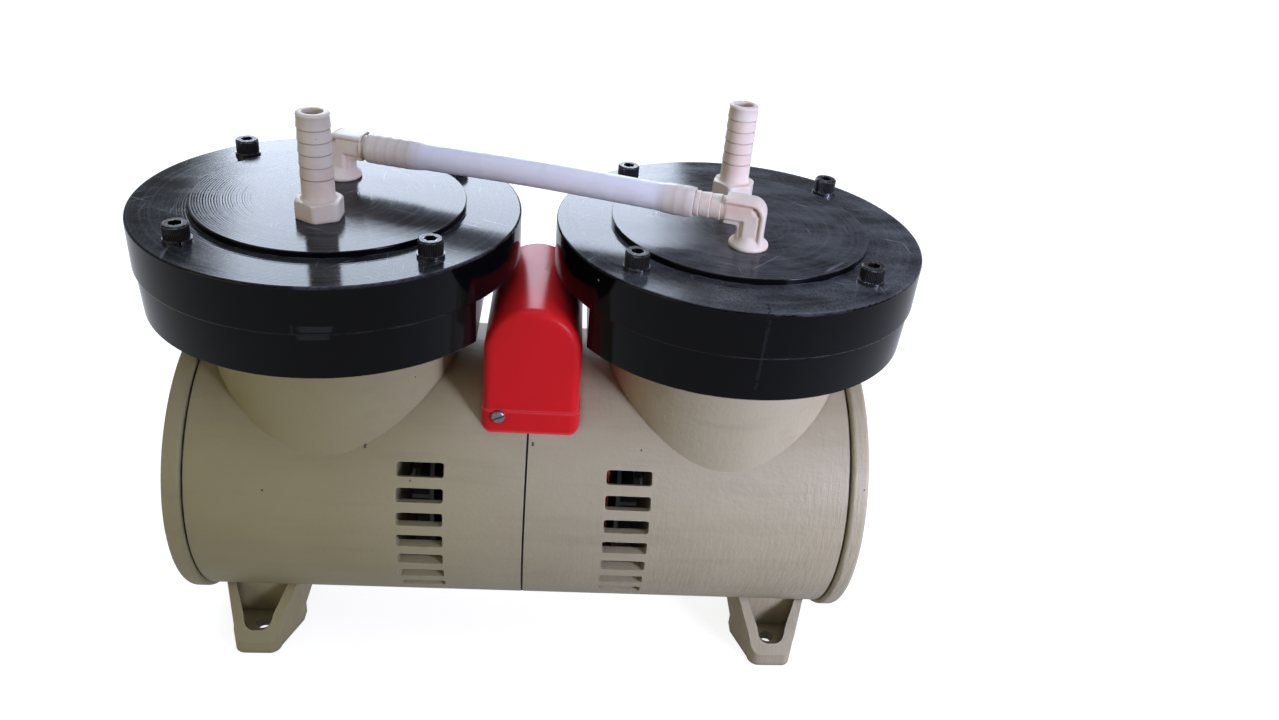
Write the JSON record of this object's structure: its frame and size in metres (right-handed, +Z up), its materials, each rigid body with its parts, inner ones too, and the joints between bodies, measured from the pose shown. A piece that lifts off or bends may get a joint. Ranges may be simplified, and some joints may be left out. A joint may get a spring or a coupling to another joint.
{
  "type": "twin-head diaphragm vacuum pump",
  "caption": "Oil-free diaphragm vacuum pump: round motor housing on cast feet, flat black heads joined in series by a clear tube, upright hose barbs and a red terminal cover.",
  "frame": {"origin": "on the floor under the centre seam, midway between the feet and between the heads", "axes": "+X along the motor axis from the inlet head to the outlet head, -Y to the front where the red cover's screw is, +Z up"},
  "size_m": [0.44, 0.21, 0.335],
  "materials": {
    "stone_paint": "cast aluminium under warm stone grey paint, semi-matt",
    "black_head": "turned aluminium with a black finish, glossy on the turned faces",
    "red_plastic": "glossy moulded red",
    "ivory_nylon": "moulded natural nylon, satin",
    "clear_tube": "clear flexible tube, slightly milky",
    "black_screw": "black oxide with bright worn edges",
    "zinc_steel": "bright zinc plate",
    "bearing_steel": "ground bearing steel",
    "spring_steel": "thin spring steel",
    "core_steel": "laminated and cast iron",
    "copper_winding": "varnished copper wire",
    "aluminium": "machined",
    "black_rubber": "fabric-backed rubber, matt",
    "black_plastic": "moulded black",
    "grey_plastic": "moulded pale grey"
  },
  "bodies": {
    "root": {"left_housing": "stone_paint", "right_housing": "stone_paint", "seam_gasket": "black_rubber", "left_end_cover": "stone_paint", "right_end_cover": "stone_paint", "end_cover_screws": "black_screw", "tie_bolts": "zinc_steel", "tie_nuts": "zinc_steel", "left_foot": "stone_paint", "right_foot": "stone_paint", "foot_screws": "black_screw", "stator_core": "core_steel", "stator_winding": "copper_winding", "left_bearing_outer_race": "bearing_steel", "right_bearing_outer_race": "bearing_steel", "left_head_base": "black_head", "right_head_base": "black_head", "base_screws": "black_screw", "left_diaphragm": "black_rubber", "right_diaphragm": "black_rubber", "left_valve_plate": "aluminium", "right_valve_plate": "aluminium", "left_reed_valves": "spring_steel", "right_reed_valves": "spring_steel", "left_head_cover": "black_head", "right_head_cover": "black_head", "head_screws": "black_screw", "spring_washers": "zinc_steel", "inlet_barb": "ivory_nylon", "outlet_barb": "ivory_nylon", "left_elbow": "ivory_nylon", "right_elbow": "ivory_nylon", "connecting_tube": "clear_tube", "terminal_cover": "red_plastic", "cover_screws": "zinc_steel", "run_capacitor": "aluminium", "terminal_block": "black_plastic", "cable_gland": "black_plastic"},
    "rotor": {"motor_shaft": "bearing_steel", "rotor_core": "core_steel", "rotor_end_rings": "aluminium", "left_fan": "grey_plastic", "right_fan": "grey_plastic", "left_bearing_inner_race": "bearing_steel", "right_bearing_inner_race": "bearing_steel", "bearing_balls": "bearing_steel", "left_eccentric": "core_steel", "right_eccentric": "core_steel", "eccentric_set_screws": "black_screw"},
    "left_rod": {"left_rod": "aluminium", "left_rod_bearing": "bearing_steel", "left_support_disc": "aluminium", "left_clamp_disc": "aluminium", "left_disc_screw": "zinc_steel"},
    "right_rod": {"right_rod": "aluminium", "right_rod_bearing": "bearing_steel", "right_support_disc": "aluminium", "right_clamp_disc": "aluminium", "right_disc_screw": "zinc_steel"}
  },
  "joints": [
    {"name": "rotor_spin", "type": "hinge", "parent": "root", "child": "rotor", "pos_m": [0, 0, 0.104], "axis": [1, 0, 0], "continuous": true, "deforming": ["left_diaphragm", "right_diaphragm"]},
    {"name": "left_crank_pivot", "type": "hinge", "parent": "rotor", "child": "left_rod", "pos_m": [-0.115, 0, 0.109], "axis": [1, 0, 0], "continuous": true},
    {"name": "right_crank_pivot", "type": "hinge", "parent": "rotor", "child": "right_rod", "pos_m": [0.115, 0, 0.099], "axis": [1, 0, 0], "continuous": true}
  ],
  "couplings": [
    {"joint": "left_crank_pivot", "follows": "rotor_spin", "ratio": -1},
    {"joint": "right_crank_pivot", "follows": "rotor_spin", "ratio": -1}
  ]
}
